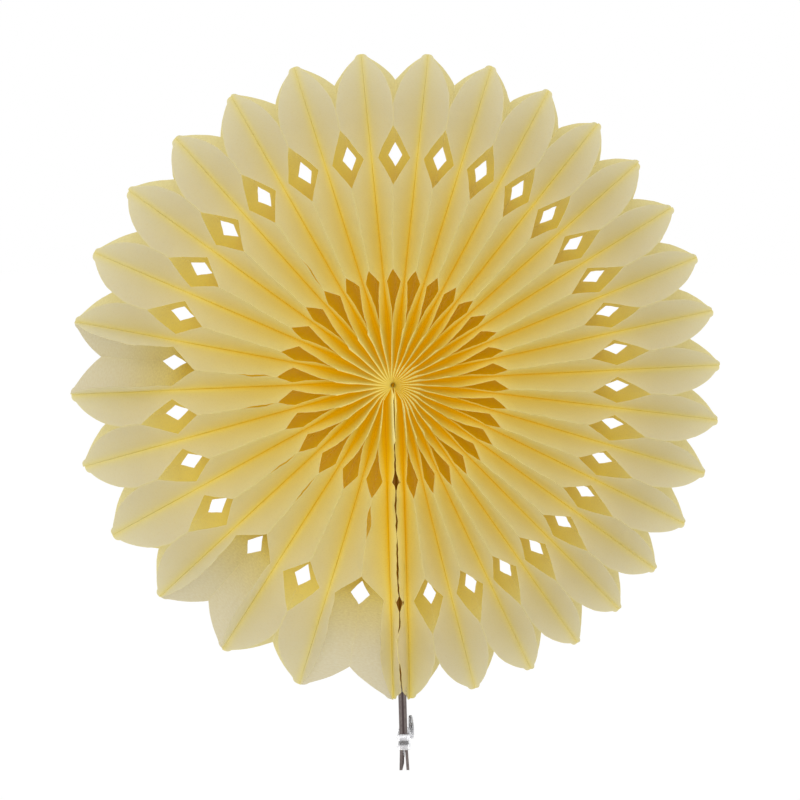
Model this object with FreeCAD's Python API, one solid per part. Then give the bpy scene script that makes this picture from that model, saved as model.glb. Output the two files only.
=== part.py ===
"""Paper fan rosette: tissue leaves glued into cells round a hub, two card strips and a clip.

Every leaf is a flat die-cut strip that stands on edge. A leaf is glued to the next one in turn
along its mid line, where the fan has a valley, and along its two long edges, where it has a
front and a back ridge. Opened all the way round, two leaves between two valleys make one
diamond-shaped tube, a cell, that grows wider from the hub to the rim.

Frame: the disc stands in the XZ plane, its front faces -Y, its seam points down, and the origin
is the hub's centre in the plane of the valleys. Sizes are in millimetres, angles in degrees.
"""

import math
import os

import FreeCAD
import Part

# Tissue leaf, as die-cut, lying flat
LEAF_LENGTH = 200.0
LEAF_HALF_WIDTH = 27.0
LEAF_THICKNESS = 0.3
VALLEY_BAND = 2.0
RIDGE_BAND = 2.0

# Die-cut outline. The star is measured along the leaf from the hub, and the rest back from the
# tip. How near a notch comes to the mid line is a share of the half width.
STAR_START, STAR_DEEPEST, STAR_END = 34.0, 62.0, 70.6
STAR_FLOOR = 0.32
DIAMOND_FROM_TIP = (79.0, 63.0, 43.5)
DIAMOND_FLOOR = 0.31
KITE_FROM_TIP = (68.2, 61.2, 53.3)
KITE_FLOOR = 0.70
FRONT_SCALLOP = 30.8
FRONT_BULGE = 0.12
BACK_SCALLOP = 14.9
BACK_BULGE = 0.05
SCALLOP_FACETS = 3

# How the fan is opened: pitch of a cell at some of the cells, straight between them
FIRST_VALLEY = 3.0
PITCHES = ((1, 11.7), (3, 9.6), (14, 9.8), (18, 11.7), (27, 13.3), (31, 15.9))
CELLS = 31
OPEN_FRONT_CELLS = (25, 29, 31)
OPEN_FRONT_SHARE = 0.55
FLATTEST_CELL = 6.0

# Seam: two card strips, apart by CARD_GAP in front and touching at the back, with one nearly
# closed cell glued to each
SEAM_ANGLE = 1.6
CARD_THICKNESS = 1.8
CARD_GAP = 1.4
CARD_WIDTH = 16.0
CARD_START = 10.0
CARD_PAST_TIP = 43.5
CARD_SPLAY = 0.6
CARD_GLUE_MARGIN = 0.5
END_CELL_RIGHT = 2.0
END_CELL_LEFT = 3.4
END_RIDGE_FROM_SEAM = 0.8

# Hub
HUB_RADIUS = 1.2
HUB_GAP_ANGLE = 12.0
PUSH_REACH = 12.0

# Clip, and its eye plate, which reaches up from it towards the paper
CLIP_PAST_TIP = 20.5
CLIP_LENGTH = 10.0
CLIP_WALL = 1.8
CLIP_SLOT_CLEARANCE = 0.2
CLIP_TONGUE = 4.5
CLIP_TONGUE_TIP = 0.6
EYE_RADIUS = 7.4
EYE_FACETS = 32
EYE_HOLE_RADIUS = 1.75
EYE_THICKNESS = 1.6
EYE_ABOVE_CLIP = 2.5
EYE_STANDOFF = 1.0

# Where a cell's sections are drawn between the cards' start and the tip, as shares of the way
SECTIONS = (0.0, 0.36, 0.7)

# How far cutting tools run past what they cut, and how far off a plane four corners may lie
OVERRUN = 5.0
FLATNESS = 1e-6

CARD_FACE = CARD_GAP / 2 + CARD_THICKNESS
CARD_LEAN = CARD_GAP / 2 / CARD_WIDTH
CARD_MIDDLE = CARD_FACE - CARD_LEAN * CARD_WIDTH / 2
RIGHT_VALLEY = CARD_FACE + END_CELL_RIGHT
LEFT_VALLEY = CARD_FACE + END_CELL_LEFT
LAST_LINE = CELLS + 2
CLIP_START = LEAF_LENGTH + CLIP_PAST_TIP
CLIP_END = CLIP_START + CLIP_LENGTH
CARD_END = LEAF_LENGTH + CARD_PAST_TIP
EYE_FROM_HUB = CLIP_START - EYE_ABOVE_CLIP

SEAM = math.radians(SEAM_ANGLE)
ALONG_SEAM = FreeCAD.Vector(math.sin(SEAM), 0, -math.cos(SEAM))
ACROSS_SEAM = FreeCAD.Vector(math.cos(SEAM), 0, math.sin(SEAM))
BACKWARD = FreeCAD.Vector(0, 1, 0)


def straight_between(knots, place):
    """Value at a place on the straight lines between (place, value) knots."""
    for (start, low), (end, high) in zip(knots, knots[1:]):
        if place <= end:
            return low + (high - low) * (place - start) / (end - start)
    return knots[-1][1]


def valley_angles():
    """Angle of each valley from the seam, anticlockwise as seen from the front."""
    angles = [FIRST_VALLEY - SEAM_ANGLE]
    for cell in range(1, CELLS + 1):
        angles.append(angles[-1] + straight_between(PITCHES, cell))
    return [math.radians(angle) for angle in angles]


VALLEY_ANGLES = valley_angles()


def glue_line(index, radius):
    """Point of a glue line in the seam's frame: how far along the seam and across it.

    Lines 0 and LAST_LINE lie on the outer faces of the cards, the others are the valleys. At
    the hub they start evenly spaced round a small hole. The thickness of the cards pushes the
    valleys near the seam aside, and those next to it run beside the cards.
    """
    if radius <= HUB_RADIUS:
        step = (360 - 2 * HUB_GAP_ANGLE) / LAST_LINE
        angle = math.radians(HUB_GAP_ANGLE + index * step)
        return HUB_RADIUS * math.cos(angle), HUB_RADIUS * math.sin(angle)
    if index in (0, LAST_LINE):
        return radius, CARD_MIDDLE if index == 0 else -CARD_MIDDLE
    if index in (1, CELLS + 1):
        return radius, RIGHT_VALLEY if index == 1 else -LEFT_VALLEY
    angle = VALLEY_ANGLES[index - 1]
    along, across = radius * math.cos(angle), radius * math.sin(angle)
    push = RIGHT_VALLEY * (1 + math.cos(angle)) / 2 * math.exp(-abs(across) / PUSH_REACH)
    return along, across + math.copysign(push, across)


def place(along, across, depth=0.0):
    """Point of the model from the seam's frame."""
    return ALONG_SEAM * along + ACROSS_SEAM * across + BACKWARD * depth


def closed_wire(points):
    return Part.makePolygon(points + points[:1])


def ridge_height(half_gap):
    """Depth of the ridges of a cell, where each half leaf spans from valley to ridge."""
    return math.sqrt(max(LEAF_HALF_WIDTH**2 - half_gap**2, FLATTEST_CELL**2))


class Section:
    """A cell's cross-section at one radius, between its two glue lines."""

    def __init__(self, cell, radius):
        left, right = place(*glue_line(cell, radius)), place(*glue_line(cell + 1, radius))
        self.middle = (left + right) / 2
        self.across = (right - left).normalize()
        self.half_gap = (right - self.middle).Length
        self.height = ridge_height(self.half_gap)
        self.flange = min(LEAF_THICKNESS, 0.9 * self.half_gap)
        self.bands = [VALLEY_BAND / 2, VALLEY_BAND / 2]
        self.ridge = 0.0
        self.card_corner = None
        if radius >= CARD_START and cell in (0, CELLS + 1):
            side = 1 if cell == 0 else -1
            self.card_corner = 0 if cell == 0 else -1
            self.card_lean = -side * CARD_LEAN
            self.bands[self.card_corner] = CARD_WIDTH / 2 + CARD_GLUE_MARGIN
            self.ridge = side * END_RIDGE_FROM_SEAM - self.middle.dot(ACROSS_SEAM)

    def ring(self, points):
        """Ring of points: a half outline and its mirror image on the other side of the valleys.

        The corner on a card, if there is one, leans with the card.
        """
        leans = [0.0] * len(points)
        if self.card_corner is not None:
            leans[self.card_corner] = self.card_lean
        half = [(across, depth, lean) for (across, depth), lean in zip(points, leans)]
        whole = half + [(across, -depth, lean) for across, depth, lean in reversed(half)]
        return [self.middle + self.across * (a + lean * d) + BACKWARD * d for a, d, lean in whole]

    def outside(self):
        fold = self.height - RIDGE_BAND
        return self.ring(
            [
                (-self.half_gap, self.bands[0]),
                (self.ridge - self.flange, fold),
                (self.ridge - self.flange, self.height),
                (self.ridge + self.flange, self.height),
                (self.ridge + self.flange, fold),
                (self.half_gap, self.bands[1]),
            ]
        )

    def inner_wall(self, side):
        """Point and slope (across per depth) of a leaf's inner face between ridge and valley."""
        fold = self.height - RIDGE_BAND
        start = self.ridge + side * self.flange
        run = fold - self.bands[0 if side < 0 else 1]
        slope = (side * self.half_gap - start) / run
        return start - side * LEAF_THICKNESS * math.hypot(1, slope), slope

    def inside(self):
        """The hollow between the two leaves, one leaf thickness in from the outside."""
        fold = self.height - RIDGE_BAND
        (left, left_slope), (right, right_slope) = self.inner_wall(-1), self.inner_wall(1)
        apex_drop = (left - right) / (right_slope - left_slope)
        edge = self.half_gap - LEAF_THICKNESS
        left_drop, right_drop = (-edge - left) / left_slope, (edge - right) / right_slope
        return self.ring(
            [
                (-edge, fold - left_drop),
                (left + left_slope * apex_drop, fold - apex_drop),
                (edge, fold - right_drop),
            ]
        )


def patch(near, next_near, next_far, far):
    """Flat faces across four corners: one if they lie in a plane, or else two triangles."""
    normal = (next_near - near).cross(far - near)
    if abs(normal.dot(next_far - near)) < FLATNESS * normal.Length:
        return [Part.Face(closed_wire([near, next_near, next_far, far]))]
    if near.distanceToPoint(next_far) < far.distanceToPoint(next_near):
        corners = [(near, next_near, next_far), (near, next_far, far)]
    else:
        corners = [(near, next_near, far), (next_near, next_far, far)]
    return [Part.Face(closed_wire(list(triangle))) for triangle in corners]


def skin(rings):
    """Solid with flat faces through rings that have the same number of points."""
    faces = [Part.Face(closed_wire(rings[0])), Part.Face(closed_wire(rings[-1]))]
    for near, far in zip(rings, rings[1:]):
        for i, corner in enumerate(near):
            following = (i + 1) % len(near)
            faces += patch(corner, near[following], far[following], far[i])
    solid = Part.Solid(Part.Shell(faces))
    if solid.Volume < 0:
        solid.reverse()
    return solid


def cell_tube(cell):
    """Two leaves between two glue lines, before the die-cut outline is taken out."""
    open_length = LEAF_LENGTH - CARD_START
    sections = [CARD_START + share * open_length for share in SECTIONS] + [LEAF_LENGTH + OVERRUN]
    shell = skin([Section(cell, radius).outside() for radius in [HUB_RADIUS, *sections]])
    hollow = skin([Section(cell, radius).inside() for radius in sections])
    return shell, hollow


class DieCut:
    """Maps the flat leaf's outline onto a cell and cuts straight across the cell with it."""

    def __init__(self, cell):
        self.rim = Section(cell, LEAF_LENGTH)
        self.cell = cell
        self.along = FreeCAD.Vector(self.rim.middle).normalize()
        if cell in (0, CELLS + 1):
            self.along = ALONG_SEAM
        self.across = BACKWARD.cross(self.along)
        self.reach = 2 * LEAF_HALF_WIDTH

    def point(self, length, share, past_edge=0.0):
        """Point in the cell's middle plane. A negative share of the half width is in front."""
        section = Section(self.cell, length)
        depth = share * section.height + math.copysign(past_edge, share)
        return self.along * section.middle.dot(self.along) + BACKWARD * depth

    def scallop(self, start, end, bulge):
        """Arc from start to end in short straight cuts, bulging by a share of its chord."""
        chord = end - start
        normal = chord.cross(self.across).normalize()
        if normal.dot(self.along) < 0:
            normal = -normal
        middle = (start + end) / 2 + normal * bulge * chord.Length
        return Part.Arc(start, middle, end).toShape().discretize(SCALLOP_FACETS + 1)

    def prism(self, corners):
        face = Part.Face(closed_wire(corners))
        face.translate(self.across * -self.reach)
        return face.extrude(self.across * 2 * self.reach)

    def notch(self, lengths, side, floor):
        """Three-sided notch in the front (side -1) or back (side 1) edge."""
        start, deepest, end = lengths
        corners = [self.point(start, side), self.point(deepest, side * floor), self.point(end, side)]
        return self.prism([*corners, self.point(end, side, OVERRUN), self.point(start, side, OVERRUN)])

    def beyond_rim(self):
        """Everything outside the pointed scallop between the front and the back edge."""
        front = self.point(LEAF_LENGTH - FRONT_SCALLOP, -1)
        back = self.point(LEAF_LENGTH - BACK_SCALLOP, 1)
        tip = self.point(LEAF_LENGTH, 0)
        far, out = tip + self.along * 2 * OVERRUN, BACKWARD * self.reach
        front_arc = self.scallop(front, tip, FRONT_BULGE)
        back_arc = self.scallop(tip, back, BACK_BULGE)
        return self.prism(
            [*front_arc, *back_arc[1:], back + out, far + 2 * out, far - 2 * out, front - out]
        )

    def unstuck_front(self):
        """Opening where the front ridge has come unstuck from the diamond hole to the rim."""
        deepest = LEAF_LENGTH - DIAMOND_FROM_TIP[1]
        start, end = self.point(deepest, 0), self.point(LEAF_LENGTH, 0)
        wide = self.across * self.rim.half_gap * OPEN_FRONT_SHARE
        floor = BACKWARD * -DIAMOND_FLOOR * Section(self.cell, deepest).height
        plan = closed_wire([start + floor, end + wide + floor, end - wide + floor])
        return Part.Face(plan).extrude(BACKWARD * -self.reach)

    def tools(self):
        star = (STAR_START, STAR_DEEPEST, STAR_END)
        diamond = [LEAF_LENGTH - back for back in DIAMOND_FROM_TIP]
        kite = [LEAF_LENGTH - back for back in KITE_FROM_TIP]
        cuts = [
            self.notch(star, -1, STAR_FLOOR),
            self.notch(diamond, -1, DIAMOND_FLOOR),
            self.notch(kite, 1, KITE_FLOOR),
            self.beyond_rim(),
        ]
        if self.cell in OPEN_FRONT_CELLS:
            cuts.append(self.unstuck_front())
        return cuts


def make_cell(cell):
    shell, hollow = cell_tube(cell)
    return shell.cut([hollow, *DieCut(cell).tools()]).removeSplitter()


def card_profile(side, along, reach):
    """Cross-section of a card at one place along the seam, as far as reach in front and behind."""
    corners = [(CARD_GAP / 2, -reach), (CARD_FACE, -reach), (CARD_FACE, reach), (CARD_GAP / 2, reach)]
    points = []
    for across, depth in corners:
        leaning = across - CARD_LEAN * (depth + CARD_WIDTH / 2)
        points.append(place(along, side * leaning, depth))
    return Part.Face(closed_wire(points))


def make_card(side):
    """Card strip beside the seam plane, bent a little outwards beyond the clip."""
    straight = card_profile(side, CARD_START, CARD_WIDTH / 2)
    bent = card_profile(side, CLIP_END, CARD_WIDTH / 2)
    outwards = ALONG_SEAM * (CARD_END - CLIP_END) + ACROSS_SEAM * side * CARD_SPLAY
    strip = straight.extrude(ALONG_SEAM * (CLIP_END - CARD_START))
    return strip.fuse(bent.extrude(outwards)).removeSplitter()


def seam_box(along, across, depth):
    """Box between two values along the seam, two across it and two in depth."""
    (start, end), (left, right) = along, across
    plan = [(start, left), (end, left), (end, right), (start, right)]
    face = Part.Face(closed_wire([place(a, c, depth[0]) for a, c in plan]))
    return face.extrude(BACKWARD * (depth[1] - depth[0]))


def make_clip():
    """Sleeve round both card tabs, with a tongue between them and an eye plate at the side."""
    sides = CARD_FACE + CLIP_WALL
    slot_depth = CARD_WIDTH / 2 + CLIP_SLOT_CLEARANCE
    depth = slot_depth + CLIP_WALL
    sleeve = seam_box((CLIP_START, CLIP_END), (-sides, sides), (-depth, depth))
    for side in (-1, 1):
        slot = card_profile(side, CLIP_START - OVERRUN, slot_depth)
        sleeve = sleeve.cut(slot.extrude(ALONG_SEAM * (CLIP_LENGTH + 2 * OVERRUN)))
    web = CARD_GAP / 2 + CARD_LEAN * CLIP_SLOT_CLEARANCE
    tip, tongue_end = CLIP_TONGUE_TIP / 2, CLIP_END + CLIP_TONGUE
    plan = [(CLIP_END, -web), (tongue_end, -tip), (tongue_end, tip), (CLIP_END, web)]
    taper = Part.Face(closed_wire([place(a, c, -slot_depth) for a, c in plan]))
    wedge = [(-web, -slot_depth), (web, -slot_depth), (0, CARD_WIDTH / 2)]
    between = Part.Face(closed_wire([place(CLIP_END, c, d) for c, d in wedge]))
    tongue = taper.extrude(BACKWARD * CARD_WIDTH).common(between.extrude(ALONG_SEAM * CLIP_TONGUE))
    eye_inner = CARD_FACE + EYE_STANDOFF
    rim = []
    for facet in range(EYE_FACETS):
        turn = 2 * math.pi * facet / EYE_FACETS
        up, back = EYE_RADIUS * math.cos(turn), EYE_RADIUS * math.sin(turn)
        rim.append(place(EYE_FROM_HUB - up, eye_inner, back))
    disc = Part.Face(closed_wire(rim)).extrude(ACROSS_SEAM * EYE_THICKNESS)
    neck_along = (CLIP_START, CLIP_START + EYE_RADIUS / 2)
    neck_across = (sides, eye_inner + EYE_THICKNESS)
    neck = seam_box(neck_along, neck_across, (-EYE_RADIUS / 2, EYE_RADIUS / 2))
    clip = sleeve.fuse([tongue, disc, neck]).removeSplitter()
    hole_start = place(EYE_FROM_HUB, eye_inner - OVERRUN)
    hole = Part.makeCylinder(EYE_HOLE_RADIUS, EYE_THICKNESS + 2 * OVERRUN, hole_start, ACROSS_SEAM)
    return clip.cut(hole)


def main():
    os.makedirs("parts", exist_ok=True)
    pieces = {"card_right": make_card(1), "card_left": make_card(-1), "clip": make_clip()}
    for cell in range(LAST_LINE):
        pieces[f"cell_{cell + 1:02d}"] = make_cell(cell)
    for name, shape in pieces.items():
        solids = shape.Solids
        print(f"{name}: {len(solids)} solid, {shape.Volume:.0f} mm3, valid {shape.isValid()}")
        solid = solids[0] if len(solids) == 1 else shape
        solid.exportStep(f"parts/{name}.step")


main()
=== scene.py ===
# %% [markdown]
# A paper fan rosette, opened to a full circle
#
# The real thing is a stack of die-cut tissue leaves. Each leaf is glued to the next along its
# middle, and to the one after along its two long edges, so the opened stack is a ring of long
# diamond-shaped tubes. Two card strips end the stack, and a clear clip holds their tabs together.
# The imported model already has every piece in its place. Its tissue is thick and flat, so each
# cell gets two thin curved leaves here. The clip gets the rounded bands of a moulding, and the
# cards keep their solids.

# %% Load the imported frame
import math

import bpy
import numpy as np
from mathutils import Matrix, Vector


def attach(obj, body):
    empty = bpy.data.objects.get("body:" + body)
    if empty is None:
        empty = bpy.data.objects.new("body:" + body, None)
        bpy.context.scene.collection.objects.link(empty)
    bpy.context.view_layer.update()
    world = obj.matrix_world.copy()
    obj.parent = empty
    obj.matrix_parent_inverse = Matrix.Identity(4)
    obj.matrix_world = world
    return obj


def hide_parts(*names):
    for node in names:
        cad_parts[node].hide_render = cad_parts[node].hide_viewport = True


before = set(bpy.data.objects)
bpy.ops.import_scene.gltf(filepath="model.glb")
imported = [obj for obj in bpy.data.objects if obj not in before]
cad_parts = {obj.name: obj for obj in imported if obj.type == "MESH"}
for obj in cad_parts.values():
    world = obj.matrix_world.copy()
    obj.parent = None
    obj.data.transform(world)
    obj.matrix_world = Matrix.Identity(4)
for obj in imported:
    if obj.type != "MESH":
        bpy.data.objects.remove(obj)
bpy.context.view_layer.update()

print("nodes in the frame:", len(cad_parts))

# %% [markdown]
# ## Sizes
#
# These repeat the sizes of the CAD source, in metres, because a scene can't read that file. A
# leaf is described lying flat: how far along it from the hub, and how far from its mid line.

# %% The die-cut leaf
MM = 0.001
LEAF_LENGTH = 200 * MM
HALF_WIDTH = 27 * MM
RIDGE_BAND = 2 * MM
STAR = np.array([34.0, 62.0, 70.6]) * MM
STAR_FLOOR = 0.32
DIAMOND = LEAF_LENGTH - np.array([79.0, 63.0, 43.5]) * MM
DIAMOND_FLOOR = 0.31
KITE = LEAF_LENGTH - np.array([68.2, 61.2, 53.3]) * MM
KITE_FLOOR = 0.70
TIP_ROUND = np.array([3.0, 3.6]) * MM
TIP_FLAT = 1.8 * MM
FRONT_SCALLOP = 30.8 * MM
FRONT_BULGE = 0.12
BACK_SCALLOP = 14.9 * MM
BACK_BULGE = 0.05

# %% How far the fan is opened
CELLS = 31
LAST_LINE = CELLS + 2
SEAM_ANGLE = math.radians(1.6)
FIRST_VALLEY = 3.0
PITCH_AT = (1, 3, 14, 18, 27, 31)
PITCH = (11.7, 9.6, 9.8, 11.7, 13.3, 15.9)
CARD_GAP = 1.4 * MM
CARD_THICKNESS = 1.8 * MM
CARD_FACE = CARD_GAP / 2 + CARD_THICKNESS
CARD_WIDTH = 16 * MM
CARD_LEAN = CARD_GAP / 2 / CARD_WIDTH
CARD_MIDDLE = CARD_FACE - CARD_LEAN * CARD_WIDTH / 2
CARD_GLUED = CARD_WIDTH / 2 + 0.5 * MM
RIGHT_END_CELL = 2.0 * MM
LEFT_END_CELL = 3.4 * MM
RIGHT_VALLEY = CARD_FACE + RIGHT_END_CELL
LEFT_VALLEY = CARD_FACE + LEFT_END_CELL
HUB_RADIUS = 1.2 * MM
HUB_GAP_ANGLE = math.radians(12)
CARD_START = 10 * MM
PUSH_REACH = 12 * MM
FLATTEST = 6 * MM
OPEN_FRONT_CELLS = (25, 29, 31)

# What only the thin leaves have: ridges at the seam, cut back at the notches, and a loose flap
END_RIDGE = 0.5 * MM
END_CUT = 13 * MM
FLAP = np.array([149.0, 158.0, 177.0]) * MM
FLAP_OVER = 3.0 * MM
FLAP_ASIDE = 0.9 * MM
FLAP_FORWARD = 1.5 * MM

pitches = np.interp(np.arange(1, CELLS + 1), PITCH_AT, PITCH)
valley_angle = np.radians(FIRST_VALLEY + np.append(0, np.cumsum(pitches))) - SEAM_ANGLE
print("last valley stands", round(math.degrees(valley_angle[-1]), 1), "degrees from the seam")

# %% [markdown]
# ## Camera
#
# A camera is easiest to match before anything else is made. The tips, notches and holes of the
# real fan, read off the picture, were fitted to the model's: the lens stands 1.33 m away, 14 cm
# above the hub and 4 cm to its right.

# %% Place the camera
CAMERA_DISTANCE = 1.33
CAMERA_AZIMUTH = math.radians(1.57)
CAMERA_ELEVATION = math.radians(6.39)
CAMERA_AIM = Vector((3.8, 0.0, -11.9)) * MM
CAMERA_LENS = 97.2

back = Vector(
    (
        math.sin(CAMERA_AZIMUTH) * math.cos(CAMERA_ELEVATION),
        -math.cos(CAMERA_AZIMUTH) * math.cos(CAMERA_ELEVATION),
        math.sin(CAMERA_ELEVATION),
    )
)
camera = bpy.data.objects.new("camera", bpy.data.cameras.new("camera"))
camera.data.sensor_width = 36
camera.data.lens = CAMERA_LENS
camera.data.clip_start = 0.01
camera.location = CAMERA_AIM + back * CAMERA_DISTANCE
camera.rotation_euler = (-back).to_track_quat("-Z", "Y").to_euler()
bpy.context.scene.collection.objects.link(camera)
bpy.context.scene.camera = camera
print("camera stands at", [round(v, 3) for v in camera.location])

# %% [markdown]
# ## Shader maths
#
# Node trees are hard to read as wires. A small class wraps a socket, so that an expression such
# as `1 - mask * 0.5` adds the Math nodes by itself. Any other node comes from one method, `node`.


# %% A socket that does sums
class Shade:
    """Wraps a socket of one material's node tree."""

    def __init__(self, tree, socket):
        self.tree, self.socket = tree, socket

    def node(self, kind, inputs=(), output=0, **settings):
        """Adds a node: its settings first, then values or links for its sockets."""
        made = self.tree.nodes.new(kind)
        for name, value in settings.items():
            setattr(made, name, value)
        for name, value in dict(inputs).items():
            if isinstance(value, Shade):
                self.tree.links.new(value.socket, made.inputs[name])
            else:
                made.inputs[name].default_value = value
        return Shade(self.tree, made.outputs[output])

    def sum(self, operation, first, second=0.0, clamp=False):
        inputs = {0: first, 1: second}
        return self.node("ShaderNodeMath", inputs, operation=operation, use_clamp=clamp)

    def __add__(self, other):
        return self.sum("ADD", self, other)

    def __sub__(self, other):
        return self.sum("SUBTRACT", self, other)

    def __rsub__(self, other):
        return self.sum("SUBTRACT", other, self)

    def __mul__(self, other):
        return self.sum("MULTIPLY", self, other)

    def clipped(self):
        """The value held between 0 and 1."""
        return self.sum("ADD", self, 0.0, clamp=True)

    def blend(self, colour_0, colour_1):
        """Colour 0 where this mask is 0, colour 1 where it is 1."""
        inputs = {0: self, 6: colour_0, 7: colour_1}
        return self.node("ShaderNodeMix", inputs, output=2, data_type="RGBA")

    def noise(self, scale, detail, stretch=(1, 1, 1)):
        """Noise on this vector, stretched along its axes."""
        scaled = self.node("ShaderNodeVectorMath", {0: self, 1: stretch}, operation="MULTIPLY")
        inputs = {"Vector": scaled, "Scale": scale, "Detail": detail}
        return self.node("ShaderNodeTexNoise", inputs)

    def bump(self, strength, distance):
        """Normal of a surface with this height."""
        inputs = {"Height": self, "Strength": strength, "Distance": distance}
        return self.node("ShaderNodeBump", inputs)


def new_material(name, **constants):
    """Material with one Principled shader. Its constants sit on the shader's own sockets.

    Glowing faces aren't sampled as lamps, because their glow is weak and there are many of them.
    """
    material = bpy.data.materials.new(name)
    material.cycles.emission_sampling = "NONE"
    material.use_nodes = True
    tree = material.node_tree
    principled = tree.nodes["Principled BSDF"]
    for socket, value in constants.items():
        principled.inputs[socket.replace("_", " ")].default_value = value
    return material, Shade(tree, principled.outputs[0]), principled


def read_attribute(shade, name):
    """What a mesh attribute says, as a number."""
    return shade.node("ShaderNodeAttribute", output="Fac", attribute_name=name)


# %% [markdown]
# ## Tissue
#
# White light that falls on thin dyed tissue partly bounces and partly passes through. Where many
# leaves stand close together it does so again and again and comes out deeper in colour: pale
# cream on the rim, yellow half way in and orange in the hollows. The renderer stops after a few
# bounces, so four attributes of each leaf help it:
#
# - `depth` is how enclosed a spot is, and picks its colour: painted bounce light.
# - `passed_on` is how much light reaches it only after many leaves. A weak glow stands for that.
# - `edge` marks the cut edges and glued ridges, which scatter more light: a painted highlight.
# - `shaded` marks what lies behind open cells and under the flap, and looks duller.

# %% Tissue colours and material
# PALE_TISSUE is the sheet's own colour on the open rim. The yellow and orange that `depth` picks
# towards the hollows are painted bounce light.
PALE_TISSUE = (0.725, 0.68, 0.585, 1)
YELLOW_BOUNCE_TINT = (0.90, 0.79, 0.27, 1)
ORANGE_BOUNCE_TINT = (0.82, 0.63, 0.003, 1)
EDGE_HIGHLIGHT = (0.93, 0.87, 0.45, 1)
LIGHT_THROUGH = (0.88, 0.815, 0.44, 1)
DARK_FIBRE_AND_SHADE = (0.52, 0.40, 0.23, 1)
YELLOW_GLOW = (0.18, 0.145, 0.03, 1)
ORANGE_GLOW = (0.17, 0.10, 0.0, 1)
NO_GLOW = (0, 0, 0, 1)
FIBRE_SCALE = 240.0
CLOUD_SCALE = 26.0
MOTTLE_ON_COLOUR = 1.6
PASSES_ON_RIM = 0.47
LESS_WHEN_DEEP = 0.42
LESS_WHEN_SHADED = 0.2


def make_tissue():
    material, shade, principled = new_material(
        "tissue", Roughness=0.85, Specular_IOR_Level=0.15
    )
    links = material.node_tree.links
    depth = read_attribute(shade, "depth")
    edge = read_attribute(shade, "edge")
    leaf_map = shade.node("ShaderNodeUVMap", uv_map="leaf")
    fibres = leaf_map.noise(FIBRE_SCALE, 4.0, stretch=(1.0, 0.35, 1.0))
    cloudy = leaf_map.noise(CLOUD_SCALE, 2.0)
    mottle = fibres * 0.12 + cloudy * 0.09 - 0.105
    half = (depth * 2 + mottle * MOTTLE_ON_COLOUR).clipped()
    full = (depth * 2.5 - 1.2 + mottle * MOTTLE_ON_COLOUR).clipped()
    # Painted bounce light: pale on the rim, then yellow and orange the more enclosed a spot is.
    colour = full.blend(half.blend(PALE_TISSUE, YELLOW_BOUNCE_TINT), ORANGE_BOUNCE_TINT)
    # Painted highlight: paler colour on the cut edges and glued ridges.
    colour = edge.blend(colour, EDGE_HIGHLIGHT)
    shaded = read_attribute(shade, "shaded")
    # Darker flecks: real fibre grain, plus painted shade where `shaded` marks the backs of open cells
    # and the strip under the flap.
    flecks = ((fibres - 0.5) * 0.8 + shaded * 0.34).clipped()
    colour = flecks.blend(colour, DARK_FIBRE_AND_SHADE)
    links.new(colour.socket, principled.inputs["Base Color"])
    glow = full.blend(YELLOW_GLOW, ORANGE_GLOW)
    passed_on = read_attribute(shade, "passed_on").blend(NO_GLOW, glow)
    links.new(passed_on.socket, principled.inputs["Emission Color"])
    principled.inputs["Emission Strength"].default_value = 1.0
    normal = (fibres * 0.7 + cloudy * 0.3).bump(0.25, 0.0004)
    links.new(normal.socket, principled.inputs["Normal"])
    through = shade.node("ShaderNodeBsdfTranslucent", {"Color": LIGHT_THROUGH})
    passing = PASSES_ON_RIM - depth * LESS_WHEN_DEEP - shaded * LESS_WHEN_SHADED
    mixed = shade.node("ShaderNodeMixShader", {0: passing, 1: shade, 2: through})
    links.new(mixed.socket, material.node_tree.nodes["Material Output"].inputs["Surface"])
    return material


tissue = make_tissue()
print("tissue nodes:", len(tissue.node_tree.nodes))

# %% [markdown]
# ## Where the glue lines run
#
# Everything follows from the glue lines. They leave a small hole at the hub evenly spaced, then
# fan out. The two cards at the seam push their neighbours aside. One function gives a line's
# place for a whole array of radii at once, so no vertex is visited on its own.


# %% Glue lines in the seam's frame
def glue_line(index, radius):
    """Along and across the seam, for an array of radii.

    Out from the cards' start a valley is radial, at its own angle, plus a sideways push that
    dies away with the distance from the seam. The lines beside the cards run parallel to them.
    Nearer the hub it is a straight line to a point of the hub's circle.
    """
    step = (2 * math.pi - 2 * HUB_GAP_ANGLE) / LAST_LINE
    hub_angle = HUB_GAP_ANGLE + index * step
    hub = HUB_RADIUS * np.array([math.cos(hub_angle), math.sin(hub_angle)])
    outer = np.maximum(radius, CARD_START)
    beside = {0: CARD_MIDDLE, 1: RIGHT_VALLEY, CELLS + 1: -LEFT_VALLEY, LAST_LINE: -CARD_MIDDLE}
    if index in beside:
        line = np.stack([outer, np.full_like(outer, beside[index])], axis=-1)
    else:
        angle = valley_angle[index - 1]
        along, across = outer * math.cos(angle), outer * math.sin(angle)
        push = RIGHT_VALLEY * (1 + math.cos(angle)) / 2 * np.exp(-np.abs(across) / PUSH_REACH)
        line = np.stack([along, across + np.sign(math.sin(angle)) * push], axis=-1)
    inward = np.clip((radius - HUB_RADIUS) / (CARD_START - HUB_RADIUS), 0, 1)[:, None]
    return hub + (line - hub) * inward


ALONG_SEAM = np.array([math.sin(SEAM_ANGLE), 0, -math.cos(SEAM_ANGLE)])
ACROSS_SEAM = np.array([math.cos(SEAM_ANGLE), 0, math.sin(SEAM_ANGLE)])
BACKWARD = np.array([0.0, 1.0, 0.0])
print("glue lines, with the two on the cards:", LAST_LINE + 1)

# %% [markdown]
# ## The die-cut outline
#
# The leaf's outline says how far it reaches from its mid line at each place along it: a full
# half width, with a star and a diamond notch in front, a small kite notch behind, and an arc
# down to the tip on both sides. Rows of the mesh are put exactly on the corners, so the holes
# come out sharp without cutting anything.


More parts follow.
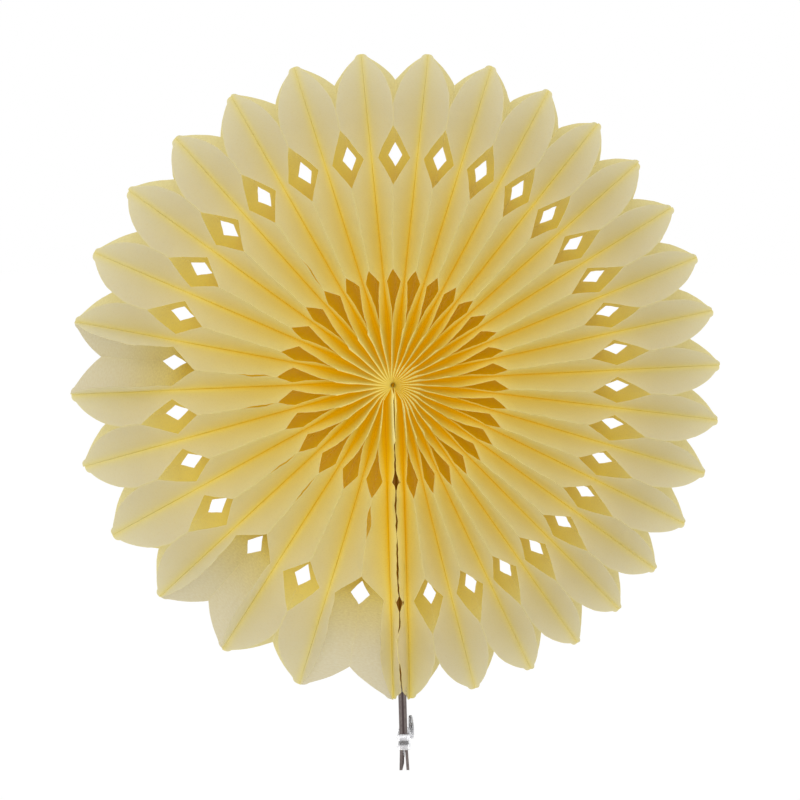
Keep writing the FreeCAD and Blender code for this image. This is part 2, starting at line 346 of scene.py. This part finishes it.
# %% Front and back edge of a leaf
def arc_to_tip(along, reach, share):
    """Circle arc from the end of a straight edge to the tip, bulging by a share of its chord."""
    chord = math.hypot(reach, HALF_WIDTH)
    bulge = share * chord
    radius = chord**2 / (8 * bulge) + bulge / 2
    inward = np.array([-HALF_WIDTH, -reach]) / chord * (radius - bulge)
    centre = np.array([LEAF_LENGTH - reach / 2, HALF_WIDTH / 2]) + inward
    height = centre[1] + np.sqrt(np.maximum(radius**2 - (along - centre[0]) ** 2, 0))
    from_tip = np.clip((LEAF_LENGTH - along) / TIP_ROUND[0], 0, 1)
    blunt = TIP_FLAT + TIP_ROUND[1] * np.sqrt(1 - (1 - from_tip) ** 2)
    height = np.clip(height, blunt, HALF_WIDTH)
    return np.where(along < LEAF_LENGTH - reach, HALF_WIDTH, height)


def notch(along, corners, floor):
    """Share of the half width that a notch of three corners leaves."""
    return np.interp(along, corners, (1, floor, 1))


def front_edge(along):
    notches = notch(along, STAR, STAR_FLOOR) * notch(along, DIAMOND, DIAMOND_FLOOR)
    return np.minimum(HALF_WIDTH * notches, arc_to_tip(along, FRONT_SCALLOP, FRONT_BULGE))


def back_edge(along):
    kite = HALF_WIDTH * notch(along, KITE, KITE_FLOOR)
    return np.minimum(kite, arc_to_tip(along, BACK_SCALLOP, BACK_BULGE))


corners = np.concatenate([STAR, DIAMOND, KITE, LEAF_LENGTH - np.array([FRONT_SCALLOP, BACK_SCALLOP])])
toward_tip = LEAF_LENGTH - FRONT_SCALLOP * (1 - np.sin(np.linspace(0, math.pi / 2, 16)))
near_hub = np.geomspace(HUB_RADIUS, STAR[0], 14)
between = np.linspace(STAR[0], 169 * MM, 56)
rows = np.unique(np.concatenate([near_hub, between, toward_tip, corners]).round(7))
half = np.array([0, 0.02, 0.05, 0.11, 0.2, 0.3, 0.41, 0.52, 0.63, 0.74, 0.84, 0.926, 0.965, 1])
columns = np.concatenate([-half[:0:-1], half])
print("each leaf has", len(rows), "rows of", len(columns), "points")

# %% [markdown]
# ## A leaf in its opened shape
#
# Between two glue lines a leaf runs from the front ridge back to the valley and on to the back
# ridge. Its cross-section is straight far out, and a little rounded near the hub, where the glued
# bands of the ridges have less room. Slow seeded waves make each leaf a little different.


# %% Seeded waves
def waves(seed, place, lengths, amount):
    """Sum of sines with random phases: a slow, smooth, repeatable wobble."""
    random = np.random.default_rng(seed)
    total = np.zeros_like(place)
    for length in lengths:
        phase, share = random.uniform(0, 2 * math.pi), random.uniform(0.5, 1)
        total += share * np.sin(place / length * 2 * math.pi + phase)
    return total * amount / len(lengths)


def soft_step(value, start, end):
    """0 before start, 1 after end, smooth between."""
    t = np.clip((value - start) / (end - start), 0, 1)
    return t * t * (3 - 2 * t)


def flap_at(along, steepness=1.0):
    """1 in the middle of the flap beside the seam, 0 at its ends and beyond."""
    return np.clip(np.interp(along, FLAP, (0, 1, 0)) * steepness, 0, 1)


print("a wave of 1 mm:", waves(0, np.array([0.0, 0.01, 0.02]), (0.05,), MM).round(5))

# %% [markdown]
# ## Where leaves lie over or come loose
#
# Near the hub the ridges are too crowded to stand up, so their glued bands lie over like
# shingles. Beside the seam two nearly closed cells lean over the cards. Outside the star the glue
# of some ridges has let go, which leaves a narrow slit in front.

# %% Crowded ridges, slits and the end cells
RIDGE_WAVES = (0.06, 0.025, 0.013, 0.006)
RIDGE_SWAY = 0.6 * MM
LEAF_WAVES = (0.075, 0.03)
LEAF_SWAY = 0.35 * MM
DEPTH_WAVES = (0.05, 0.02)
DEPTH_SWAY = 0.25 * MM
TURN_WAVES = (0.034, 0.015)
END_WAVES = (0.05, 0.019, 0.011)
RIDGE_ROUNDING = 0.25
TIP_SPREAD = (-0.7, 0.5)
UNSTUCK_SPREAD = 0.72
BESIDE_CARD = 0.12 * MM
LEAVES_APART = 0.1 * MM

# Cell, then where along it the slit's middle is in metres, and how wide it stands open in mm
SLITS = {
    21: (0.083, 0.4),
    25: (0.084, 0.6),
    26: (0.082, 0.6),
    28: (0.083, 0.5),
    29: (0.084, 0.5),
    31: (0.086, 1.4),
}
SLIT_HALF_LENGTH = 11 * MM


def crowded(cell, along):
    """1 where ridges are so crowded near the hub that their glued bands lie over, like shingles.

    That reaches 20 mm from the hub in the narrow cells on the right and 7 mm on the left.
    """
    reach = np.interp(cell, (1, 13, 19, CELLS), (20, 17, 8, 7)) * MM
    return 1 - soft_step(along, reach - 4 * MM, reach + 2 * MM)


def end_cell(cell, side, along, offset, depth, reach, middle, half_gap):
    """Sideways place, and how far forward, in the nearly closed cell on a card.

    The leaf on the card lies flat on it as far as the card is wide. In front of and behind the
    card both leaves lean over it to a ridge beside the seam, and so do the edges of the cut
    holes, except where these are cut back to the card. Near the hub, where there is no card,
    the ridges of both end cells meet behind. One stretch of the right ridge flaps over the left.
    """
    card_side = -1 if cell == 0 else 1
    start = side * half_gap
    flat = 0.0
    if side == card_side:
        start = start + card_side * (CARD_LEAN * depth - BESIDE_CARD)
        flat = CARD_GLUED
    leaning = np.maximum(np.minimum(reach, HALF_WIDTH), END_CUT)
    share = np.clip((np.abs(offset) - flat) / (leaning - flat), 0, 1)
    meeting = 1 - soft_step(along, 30 * MM, 60 * MM)
    ridge_from_seam = np.where(offset < 0, END_RIDGE, END_RIDGE * (0.1 - 0.3 * meeting))
    wavy = waves(900 + cell, along, END_WAVES, DEPTH_SWAY) * (offset < 0)
    ridge = -card_side * (ridge_from_seam + wavy) - middle
    flap = flap_at(along) * soft_step(-offset, 12 * MM, 26 * MM)
    ridge = ridge - flap * (FLAP_OVER if cell == 0 else FLAP_ASIDE)
    lean = np.clip(along / (4 * MM) - 0.3, 0, 1)
    ridge = ridge * lean + (1 - lean) * side * LEAVES_APART
    sideways = start + (ridge + side * LEAVES_APART - start) * share
    return sideways, flap * (FLAP_FORWARD if cell == 0 else 0)


def slit(cell, side, along, t):
    """How far a leaf draws back from a ridge whose glue has let go."""
    centre, width = SLITS[cell]
    opening = np.clip(1 - ((along - centre) / SLIT_HALF_LENGTH) ** 2, 0, 1) ** 1.5
    return side * width * MM * opening * t**4


def lying_over(cell, along, offset, half_gap, near_hub, grown):
    """How far the glued band of a ridge lies over, sideways and in depth."""
    turn = waves(100 * cell + 9, along, TURN_WAVES, 0.15 + 0.45 * near_hub) * grown
    turn = turn + 0.4 * near_hub + crowded(cell, along) * 0.8
    band = np.clip((np.abs(offset) - HALF_WIDTH + RIDGE_BAND) / RIDGE_BAND, 0, 1)
    most = half_gap * (0.8 + 0.45 * crowded(cell, along))
    lying = np.clip(RIDGE_BAND * np.sin(turn), -most, most)
    return lying * band, np.where(offset < 0, band, -band) * lying**2 / (2 * RIDGE_BAND)


print("slits in", len(SLITS), "cells, open fronts in", len(OPEN_FRONT_CELLS))


# %% One leaf
def opened_cell(cell, radii):
    """Mid points, directions across, half gaps and ridge heights of a cell at these radii."""
    left, right = glue_line(cell, radii), glue_line(cell + 1, radii)
    middle, gap = (left + right) / 2, right - left
    half_gap = np.linalg.norm(gap, axis=1) / 2
    across = gap / (2 * half_gap[:, None])
    height = np.sqrt(np.maximum(HALF_WIDTH**2 - half_gap**2, FLATTEST**2))
    return middle, across, half_gap[:, None], height[:, None]


def closing_share(cell, along, front):
    """1 where both leaves meet at the ridge, and less where a cell has come unstuck in front."""
    if cell not in OPEN_FRONT_CELLS:
        return 1.0
    unstuck = soft_step(along, DIAMOND[0], DIAMOND[2])
    return np.where(front, 1 - UNSTUCK_SPREAD * unstuck, 1.0)


def leaf_points(cell, side):
    """Grid of points of one leaf of a cell: side -1 is the leaf on the lower glue line.

    Across the cell a point lies at half_gap * (1 - c(t)), where t runs from 0 in the valley to
    1 on the ridge and c is nearly straight. In depth it lies at its distance from the mid line
    times ridge height / half width. On top of that come the slow waves. TIP_SPREAD is how much
    shorter or longer than the others a leaf may end, in mm.
    """
    random = np.random.default_rng(1000 + 2 * cell + (side > 0))
    radii = rows + random.uniform(*TIP_SPREAD) * MM * (rows / LEAF_LENGTH) ** 12
    middle, across, half_gap, height = opened_cell(cell, radii)
    along = rows[:, None]
    reach = np.where(columns < 0, front_edge(rows)[:, None], back_edge(rows)[:, None])
    offset, front = reach * columns, np.broadcast_to(columns < 0, (len(rows), len(columns)))
    depth = offset * (height / HALF_WIDTH)
    near_hub = 1 - soft_step(along, 38 * MM, 72 * MM)
    t = np.clip(np.abs(offset) / (HALF_WIDTH - RIDGE_BAND * near_hub), 0, 1)
    curve = 1 - (1 - t) ** (1 + RIDGE_ROUNDING * near_hub)
    if cell in (0, CELLS + 1):
        centre = middle[:, 1:]
        sideways, forward = end_cell(cell, side, along, offset, depth, reach, centre, half_gap)
        depth -= forward
    else:
        sideways = side * half_gap * (1 - closing_share(cell, along, front) * curve)
    if cell in SLITS:
        sideways += np.where(front, slit(cell, side, along, t), 0)
    seed = 100 * cell
    grown = soft_step(along, CARD_START, 45 * MM)
    front_sway, back_sway = (waves(seed + k, along, RIDGE_WAVES, RIDGE_SWAY) for k in (0, 1))
    sideways += np.where(front, front_sway, back_sway) * curve * grown
    sideways += waves(seed + 3 + side, along, LEAF_WAVES, LEAF_SWAY) * np.sin(math.pi * t) * grown
    over, outward = lying_over(cell, along, offset, half_gap, near_hub, grown)
    sideways += over
    depth += outward
    depth += waves(seed + 7, along, DEPTH_WAVES, DEPTH_SWAY) * curve * grown
    plane = middle[:, None, :] + across[:, None, :] * sideways[:, :, None]
    points = plane[..., :1] * ALONG_SEAM + plane[..., 1:] * ACROSS_SEAM
    return points + depth[..., None] * BACKWARD, offset, t, half_gap


print("a leaf's grid:", leaf_points(0, 1)[0].shape)

# %% [markdown]
# ## Each cell as one piece
#
# A cell is two leaves. The grid's own rows and columns are kept as a UV map, which the fibre
# pattern follows, and the four attributes that the tissue reads are worked out from the same
# arrays.


# %% Faces, attributes and the object
def grid_faces(count_rows, count_columns, start, flip):
    """Quads between neighbouring rows and columns of a grid, as whole arrays."""
    index = np.arange(count_rows * count_columns).reshape(count_rows, count_columns) + start
    a, b, c, d = index[:-1, :-1], index[1:, :-1], index[1:, 1:], index[:-1, 1:]
    order = (a, d, c, b) if flip else (a, b, c, d)
    return np.stack(order, axis=-1).reshape(-1, 4)


def valley_line(offset):
    """1 on the glued mid line of a leaf, fading over a few millimetres."""
    return np.exp(-((offset / (3.2 * MM)) ** 2))


# Beside the seam the tissue gets a deeper painted bounce colour and a painted glow, on top of the
# doubled paper.
def beside_seam(cell, side, offset):
    """1 in the valleys on both sides of the seam, where doubled paper is deeper in colour."""
    if (cell, side) in ((0, 1), (1, -1), (CELLS, 1), (CELLS + 1, -1)):
        return np.exp(-np.abs(offset) / (12 * MM))
    return 0.0


# The flap lies in front and catches light: a painted highlight, with paler colour and a weak glow.
def on_flap(cell, along, offset):
    """1 on the stretch of the right end cell's ridge that lies over the left one."""
    if cell != 0:
        return 0.0
    return flap_at(along, 3) * soft_step(-offset, 8 * MM, 14 * MM)


def in_shade(cell, along, offset):
    """1 on the back halves of the cells that stand open in front, and less on the other rims."""
    behind = 0.3 * soft_step(along, 150 * MM, 178 * MM)
    if cell in OPEN_FRONT_CELLS:
        behind = soft_step(along, 118 * MM, 130 * MM)
    under_flap = 0.0
    if cell == CELLS + 1:
        under_flap = flap_at(along, 2) * soft_step(-offset, 8 * MM, 14 * MM)
    return np.where(offset > 0, behind, under_flap)


# The depth worked out here picks the tissue's painted bounce colour: deeper in grooves, valleys and
# tubes, where light bounces among many leaves.
def enclosed(cell, side, along, offset, t):
    """How enclosed a spot is, from 0 on the rim to 1 deep in a tube near the hub.

    The front halves deepen slowly towards the hub and towards the valley, and quickly in the
    narrow grooves. The back halves are seen from inside the tubes, unless these stand open.
    """
    inward = 1 - soft_step(along, 60 * MM, 195 * MM)
    groove = (1 - soft_step(along, 30 * MM, 66 * MM)) * (1 - t) ** 0.8
    valley = 0.16 * np.exp(-np.abs(offset) / (8 * MM)) + 0.22 * valley_line(offset)
    front = 0.40 * inward + 0.6 * groove + valley
    tube = 0.28 + 0.40 * inward + 0.3 * (1 - soft_step(along, 68 * MM, 92 * MM))
    tube += 0.3 * (1 - soft_step(along, 145 * MM, 178 * MM))
    if cell in OPEN_FRONT_CELLS:
        tube -= 0.3 * soft_step(along, 125 * MM, 150 * MM)
    front = front + beside_seam(cell, side, offset) * 0.22 - on_flap(cell, along, offset) * 0.4
    return np.clip(np.where(offset < 0, front, tube), 0, 1)


def passed_on_light(cell, side, along, offset, t, half_gap, edge):
    """How much light reaches a spot only after many leaves, most of all in the narrow grooves."""
    narrow = np.exp(-half_gap / (9 * MM))
    rim = 1 - soft_step(along, 120 * MM, 198 * MM)
    groove = (0.25 + 0.75 * (1 - t)) * (0.35 + 1.05 * narrow) * rim
    valley = 0.12 * valley_line(offset) * (0.4 + 0.6 * rim)
    ridge = 0.5 * edge * (1 - soft_step(along, 60 * MM, 100 * MM))
    tube = 0.15 * rim + 0.42 * (1 - soft_step(along, 85 * MM, 130 * MM))
    if cell in OPEN_FRONT_CELLS:
        tube *= 1 - soft_step(along, 125 * MM, 150 * MM)
    hub = 0.4 * (1 - soft_step(along, 6 * MM, 16 * MM))
    if cell in (0, CELLS + 1):
        over_card = soft_step(-offset, 0, CARD_GLUED) * soft_step(along, 70 * MM, 100 * MM)
        groove = groove + 0.5 * over_card
    beside = beside_seam(cell, side, offset) * 0.35 + on_flap(cell, along, offset) * 0.2
    light = np.where(offset < 0, groove + valley + ridge + hub + beside, tube)
    return np.clip(light * soft_step(along, 1 * MM, 2.2 * MM), 0, 1)


# This mark gives the tissue a painted highlight, and near the hub a painted glow.
def cut_edge(along, offset):
    """1 on the glued ridges and the cut edges, fading over a millimetre or two."""
    reach = np.where(offset < 0, front_edge(rows)[:, None], back_edge(rows)[:, None])
    near_cut = np.clip(1 - (reach - np.abs(offset)) / (1.1 * MM), 0, 1)
    near_hub = 1 - soft_step(along, 45 * MM, 80 * MM)
    ridge = np.clip((-offset / HALF_WIDTH - 0.93) / 0.03, 0, 1)
    near_cut = near_cut * np.where(offset < 0, 0.4 + 0.6 * near_hub, 0.15)
    return np.maximum(near_cut, ridge * near_hub)


def make_cell(cell):
    """Both leaves of a cell, in one object that stands for the CAD node."""
    name = f"cell_{cell + 1:02d}"
    points, faces, depths, passed, edges, shades, maps = [], [], [], [], [], [], []
    for leaf, side in enumerate((-1, 1)):
        grid, offset, t, half_gap = leaf_points(cell, side)
        faces.append(grid_faces(*grid.shape[:2], leaf * grid[..., 0].size, side > 0))
        points.append(grid.reshape(-1, 3))
        along = rows[:, None] + 0 * offset
        depths.append(enclosed(cell, side, along, offset, t).ravel())
        edge = cut_edge(along, offset)
        edges.append(edge.ravel())
        shades.append(in_shade(cell, along, offset).ravel())
        passed.append(passed_on_light(cell, side, along, offset, t, half_gap, edge).ravel())
        place = np.stack([along / LEAF_LENGTH + 1.3 * cell, offset / LEAF_LENGTH + leaf], axis=-1)
        maps.append(place.reshape(-1, 2))
    mesh = bpy.data.meshes.new(name + "_leaves")
    faces = np.concatenate(faces)
    mesh.from_pydata(np.concatenate(points), [], faces)
    mesh.polygons.foreach_set("use_smooth", np.ones(len(faces), bool))
    attributes = {"depth": depths, "passed_on": passed, "edge": edges, "shaded": shades}
    for attribute, values in attributes.items():
        made = mesh.attributes.new(attribute, "FLOAT", "POINT")
        made.data.foreach_set("value", np.concatenate(values).astype(np.float32))
    uv = mesh.uv_layers.new(name="leaf")
    uv.data.foreach_set("uv", np.concatenate(maps)[faces.ravel()].astype(np.float32).ravel())
    piece = bpy.data.objects.new(name + "_leaves", mesh)
    bpy.context.scene.collection.objects.link(piece)
    mesh.materials.append(tissue)
    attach(piece, "root")
    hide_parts(name)
    return piece


leaves = [make_cell(cell) for cell in range(LAST_LINE)]
print("cells:", len(leaves), "with", sum(len(p.data.polygons) for p in leaves), "quads")

# %% [markdown]
# ## Greyboard
#
# The card strips are plain solids of the right shape, so they keep their CAD meshes. Greyboard is
# pressed waste paper: flecked grey-brown with short fibres, so two noises on Object coordinates
# colour it and lift its surface. Inside the fan the only light that reaches it has come through
# several dyed leaves, so there it looks orange-brown.

# %% Greyboard on the cards
GREYBOARD = (0.115, 0.092, 0.086, 1)
GREYBOARD_FLECK = (0.25, 0.208, 0.198, 1)
GLOW_BETWEEN_CARDS = (0.06, 0.046, 0.045, 1)
LIT_THROUGH_TISSUE = (0.115, 0.045, 0.004, 1)
TISSUE_GLOW = (0.09, 0.033, 0.0, 1)
TAB_SHOWS = -188 * MM
TAB_FADE = 4 * MM
BOARD_FLECK_SCALE = 1400.0
BOARD_CLOUD_SCALE = 160.0


def make_greyboard():
    """Plain board below the leaves, a faint painted glow between the cards, painted orange-brown above.
    """
    material, shade, principled = new_material("greyboard", Roughness=0.9)
    links = material.node_tree.links
    place = shade.node("ShaderNodeTexCoord", output="Object")
    flecks = place.noise(BOARD_FLECK_SCALE, 4.0, stretch=(1, 1, 0.35))
    clouds = place.noise(BOARD_CLOUD_SCALE, 2.0)
    mask = (flecks * 1.6 + clouds * 0.8 - 0.75).clipped()
    board = mask.blend(GREYBOARD, GREYBOARD_FLECK)
    inputs = {0: place, 1: tuple(ACROSS_SEAM / MM)}
    across = shade.node("ShaderNodeVectorMath", inputs, output=1, operation="DOT_PRODUCT")
    height = place.node("ShaderNodeSeparateXYZ", {0: place}, output=2)
    below_leaves = ((height - TAB_SHOWS) * (-1 / TAB_FADE)).clipped()
    # Painted light: a faint glow on the cards' facing sides, and orange-brown light through the leaves
    # above the tab.
    between = (1 - (across * across - 0.5) * 4).clipped()
    glow = below_leaves.blend(TISSUE_GLOW, between.blend(NO_GLOW, GLOW_BETWEEN_CARDS))
    links.new(below_leaves.blend(LIT_THROUGH_TISSUE, board).socket, principled.inputs["Base Color"])
    links.new(glow.socket, principled.inputs["Emission Color"])
    principled.inputs["Emission Strength"].default_value = 1.0
    links.new(flecks.bump(0.5, 0.0003).socket, principled.inputs["Normal"])
    return material


greyboard = make_greyboard()
for name in ("card_left", "card_right"):
    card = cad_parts[name]
    card.data.materials.clear()
    card.data.materials.append(greyboard)
print("greyboard on the cards")

# %% [markdown]
# ## The clip
#
# The clip is moulded in clear plastic: a sleeve with two thick rounded bands and a thinner wall
# between them, a tongue that keeps the card ends apart, and a round plate with the hanging hole.
# The sleeve and the plate are both a closed outline carried round a closed loop, so one function
# makes the faces of both. The bands catch the light, so the attribute `band` marks them for a
# painted highlight: a whiter colour and a weak glow.

# %% Shapes of the clip
SLEEVE = np.array([220.5, 230.5]) * MM
BANDS = np.array([[222.6, 2.1], [228.7, 1.8]]) * MM
SLOT = np.array([2.55, 8.2]) * MM
THIN_WALL = 0.5 * MM
BAND_HEIGHT = 1.2 * MM
EYE_CENTRE = np.array([218.0, 4.6]) * MM
EYE_RADII = np.array([1.75, 2.0, 2.4, 6.9, 7.3, 7.4, 7.4, 7.3, 6.9, 2.4, 2.0, 1.75]) * MM
EYE_HALVES = np.array([-0.5, -0.75, -0.8, -0.8, -0.6, -0.25, 0.25, 0.6, 0.8, 0.8, 0.75, 0.5]) * MM
EYE_TURN = math.radians(10)
TONGUE = np.array([230.0, 235.0]) * MM
TONGUE_HALVES = np.array([0.65, 0.3]) * MM
SLOT_CORNER = 0.4 * MM
ROWS_ALONG_SLEEVE = 49
ROUND_SLEEVE = 72
ROUND_EYE = 56


def from_seam(along, across, depth):
    """Places given along and across the seam and in depth, as points of the frame."""
    in_plane = along[..., None] * ALONG_SEAM + across[..., None] * ACROSS_SEAM
    return in_plane + depth[..., None] * BACKWARD


def sleeve_points():
    """Closed outline of the wall, carried round a rectangle with rounded corners."""
    outer = np.linspace(SLEEVE[1], SLEEVE[0], ROWS_ALONG_SLEEVE)
    from_middle = (outer[:, None] - BANDS[:, 0]) / BANDS[:, 1]
    round_top = np.sqrt(np.clip(1 - from_middle**2, 0, 1)).max(axis=1)
    along = np.append(outer, SLEEVE)[:, None]
    wall = np.append(THIN_WALL + BAND_HEIGHT * round_top, (0, 0))[:, None]
    band = np.append(round_top, (0, 0))[:, None] + np.zeros(ROUND_SLEEVE)
    corner = wall + SLOT_CORNER
    angle = (np.arange(ROUND_SLEEVE) + 0.5) * 2 * math.pi / ROUND_SLEEVE
    sine, cosine = np.sin(angle), np.cos(angle)
    across = np.sign(cosine) * (SLOT[0] + wall - corner) + cosine * corner
    depth = np.sign(sine) * (SLOT[1] + wall - corner) + sine * corner
    return from_seam(along + 0 * across, across, depth), band


def eye_points():
    """Closed outline of the plate's edge, carried round its centre. The plate is turned a little."""
    angle = np.arange(ROUND_EYE) * 2 * math.pi / ROUND_EYE
    along = EYE_CENTRE[0] + EYE_RADII[:, None] * np.cos(angle)
    flat, out = EYE_RADII[:, None] * np.sin(angle), EYE_HALVES[:, None] + 0 * angle
    across = EYE_CENTRE[1] + out * math.cos(EYE_TURN) - flat * math.sin(EYE_TURN)
    depth = flat * math.cos(EYE_TURN) + out * math.sin(EYE_TURN)
    return from_seam(along, across, depth), 0 * across


def closed_faces(count_rows, count_columns, start):
    """Quads of a grid whose last row and column join the first."""
    row, column = np.mgrid[:count_rows, :count_columns]
    next_row, next_column = (row + 1) % count_rows, (column + 1) % count_columns
    corners = ((row, column), (next_row, column), (next_row, next_column), (row, next_column))
    return np.stack([r * count_columns + c + start for r, c in corners], axis=-1).reshape(-1, 4)


print("sleeve of", round((SLEEVE[1] - SLEEVE[0]) / MM, 1), "mm")

# %% Clear plastic and the clip
WALL_PLASTIC = (0.66, 0.66, 0.67, 1)
BAND_HIGHLIGHT = (0.96, 0.96, 0.97, 1)
BAND_GLOW = (0.34, 0.34, 0.35, 1)


def make_clear_plastic():
    """Clear plastic. The bands get a painted highlight, whiter and glowing, for light they gather all
    round.
    """
    material, shade, principled = new_material(
        "clear_plastic", Roughness=0.1, IOR=1.49, Transmission_Weight=0.85
    )
    links = material.node_tree.links
    band = read_attribute(shade, "band")
    # Painted highlight: the bands are whiter and glow a little.
    links.new(band.blend(WALL_PLASTIC, BAND_HIGHLIGHT).socket, principled.inputs["Base Color"])
    links.new(band.blend(NO_GLOW, BAND_GLOW).socket, principled.inputs["Emission Color"])
    principled.inputs["Emission Strength"].default_value = 1.0
    place = shade.node("ShaderNodeTexCoord", output="Object")
    links.new(place.noise(260.0, 2.0).bump(0.2, 0.0004).socket, principled.inputs["Normal"])
    return material


def make_clip():
    """Sleeve, plate and tongue in one mesh that stands for the CAD clip."""
    points, bands, faces = [], [], []
    for grid, band in (sleeve_points(), eye_points()):
        faces.append(closed_faces(*band.shape, sum(len(p) for p in points)))
        points.append(grid.reshape(-1, 3))
        bands.append(band.ravel())
    end, side, back_side = np.mgrid[:2, -1:2:2, -1:2:2].reshape(3, -1)
    tongue = from_seam(TONGUE[end], side * TONGUE_HALVES[end], back_side * SLOT[1])
    ends, sides = [[0, 1, 3, 2], [4, 6, 7, 5]], [[0, 4, 5, 1], [2, 3, 7, 6], [0, 2, 6, 4], [1, 5, 7, 3]]
    box = np.array(ends + sides)
    faces.append(box + sum(len(p) for p in points))
    points.append(tongue)
    bands.append(np.zeros(len(tongue)))
    mesh = bpy.data.meshes.new("clip_moulding")
    faces = np.concatenate(faces)[:, ::-1]  # along, across and back make a left-handed frame
    mesh.from_pydata(np.concatenate(points), [], faces)
    smooth = np.arange(len(faces)) < len(faces) - len(box)
    mesh.polygons.foreach_set("use_smooth", smooth)
    band = mesh.attributes.new("band", "FLOAT", "POINT")
    band.data.foreach_set("value", np.concatenate(bands).astype(np.float32))
    piece = bpy.data.objects.new("clip_moulding", mesh)
    bpy.context.scene.collection.objects.link(piece)
    mesh.materials.append(make_clear_plastic())
    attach(piece, "root")
    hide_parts("clip")
    return piece


clip = make_clip()
print("clip:", len(clip.data.polygons), "faces")

# %% [markdown]
# ## Floor, world and lamps
#
# The picture is a cut-out on white, so the floor and the world look white to the camera. The
# light itself is soft and plain: a bright sky all round and one large softbox in front.

# %% White surroundings
FLOOR_HEIGHT = -0.42
SKY_STRENGTH = 0.86
FLOOR_GLOW = 1.04
FLOOR_SHARE = 0.9


def seen_directly(shade):
    """1 for rays from the camera, off a mirror or through clear plastic, as a shader socket."""
    path = shade.node("ShaderNodeLightPath")
    outputs = path.socket.node.outputs
    camera_ray = Shade(shade.tree, outputs["Is Camera Ray"])
    return (
        camera_ray
        + Shade(shade.tree, outputs["Is Glossy Ray"])
        + Shade(shade.tree, outputs["Is Transmission Ray"])
    ).clipped()


world = bpy.data.worlds.new("white")
bpy.context.scene.world = world
world.use_nodes = True
sky = world.node_tree.nodes["Background"]
sky.inputs["Color"].default_value = (1, 1, 1, 1)
sky_shade = Shade(world.node_tree, sky.outputs[0])
strength = seen_directly(sky_shade) * (1 - SKY_STRENGTH) + SKY_STRENGTH
world.node_tree.links.new(strength.socket, sky.inputs["Strength"])

bpy.ops.mesh.primitive_plane_add(size=12, location=(0, 3, FLOOR_HEIGHT))
floor = bpy.context.object
floor.name = "floor"
floor_material, floor_shade, floor_principled = new_material(
    "floor", Base_Color=(0.8, 0.8, 0.8, 1), Roughness=0.9
)
glow = floor_shade.node("ShaderNodeEmission", {"Color": (1, 1, 1, 1), "Strength": FLOOR_GLOW})
share = seen_directly(floor_shade) * FLOOR_SHARE
floor_mixed = floor_shade.node("ShaderNodeMixShader", {0: share, 1: floor_shade, 2: glow})
floor_material.node_tree.links.new(
    floor_mixed.socket, floor_material.node_tree.nodes["Material Output"].inputs["Surface"]
)
floor.data.materials.append(floor_material)
print("floor at", FLOOR_HEIGHT, "m, sky of strength", SKY_STRENGTH)

# %% Softbox
SOFTBOX_SIZE = (1.8, 1.4)
SOFTBOX_WATTS = 9
SOFTBOX_PLACE = (-0.25, -2.3, 0.7)

softbox = bpy.data.objects.new("softbox", bpy.data.lights.new("softbox", "AREA"))
softbox.data.shape = "RECTANGLE"
softbox.data.size, softbox.data.size_y = SOFTBOX_SIZE
softbox.data.energy = SOFTBOX_WATTS
softbox.location = SOFTBOX_PLACE
softbox.rotation_euler = (Vector((0, 0, 0)) - softbox.location).to_track_quat("-Z", "Y").to_euler()
bpy.context.scene.collection.objects.link(softbox)
bpy.context.scene.view_settings.view_transform = "Standard"
print("softbox of", softbox.data.energy, "W")
